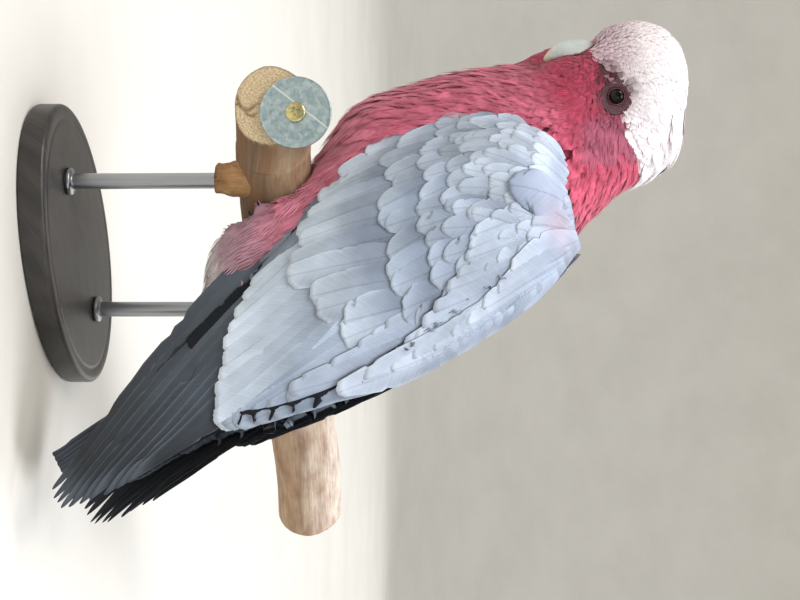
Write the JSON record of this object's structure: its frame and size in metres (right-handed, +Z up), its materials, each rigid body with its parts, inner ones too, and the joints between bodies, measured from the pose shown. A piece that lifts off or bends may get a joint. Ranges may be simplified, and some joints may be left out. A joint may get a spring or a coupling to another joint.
{
  "type": "galah",
  "caption": "Life-size still model of a pink and grey galah perched on a short cut branch, its head turned to one side, held by an oval base and two rods.",
  "frame": {"origin": "centre of the underside of the stand's oval base, on the floor", "axes": "+Z up; the bird's body faces -X and its left side is towards -Y; the branch runs away from its sawn end at 55 degrees from +X towards +Y"},
  "size_m": [0.2175, 0.2179, 0.2836],
  "materials": {
    "pink_plumage": "deep rose pink feathers, soft and matte",
    "cap_plumage": "white feathers with a breath of pink, soft and matte",
    "grey_plumage": "pale blue-grey feathers, matte",
    "flight_feathers": "dark slate-grey flight feathers, slight sheen",
    "tail_feathers": "slate-grey tail feathers, slight sheen",
    "bill": "pale bone-grey horn, satin",
    "eye": "near-black, wet and glossy",
    "eye_ring_skin": "bare wrinkled grey-pink skin, matte",
    "foot_skin": "scaly grey skin, matte",
    "claw": "dark horn, satin",
    "perch_wood": "stripped branch with sawn end grain, matte",
    "washer_zinc": "zinc-plated, mottled and lightly scratched",
    "screw_zinc": "yellow zinc-plated, satin",
    "stand_base": "black-stained ash, satin",
    "stand_rod": "satin"
  },
  "bodies": {
    "root": {"head": "pink_plumage", "crest": "cap_plumage", "neck": "pink_plumage", "trunk": "pink_plumage", "bill_upper": "bill", "bill_lower": "bill", "tail": "tail_feathers", "wing_left_coverts": "grey_plumage", "wing_left_secondaries": "grey_plumage", "wing_left_primaries": "flight_feathers", "eye_left": "eye", "foot_left": "foot_skin", "claw_left_toe_1": "claw", "claw_left_toe_2": "claw", "claw_left_toe_3": "claw", "claw_left_toe_4": "claw", "wing_right_coverts": "grey_plumage", "wing_right_secondaries": "grey_plumage", "wing_right_primaries": "flight_feathers", "eye_right": "eye", "foot_right": "foot_skin", "claw_right_toe_1": "claw", "claw_right_toe_2": "claw", "claw_right_toe_3": "claw", "claw_right_toe_4": "claw", "perch_branch": "perch_wood", "perch_washer": "washer_zinc", "perch_screw": "screw_zinc", "stand_base": "stand_base", "stand_rod_front": "stand_rod", "stand_rod_back": "stand_rod"}
  },
  "joints": []
}
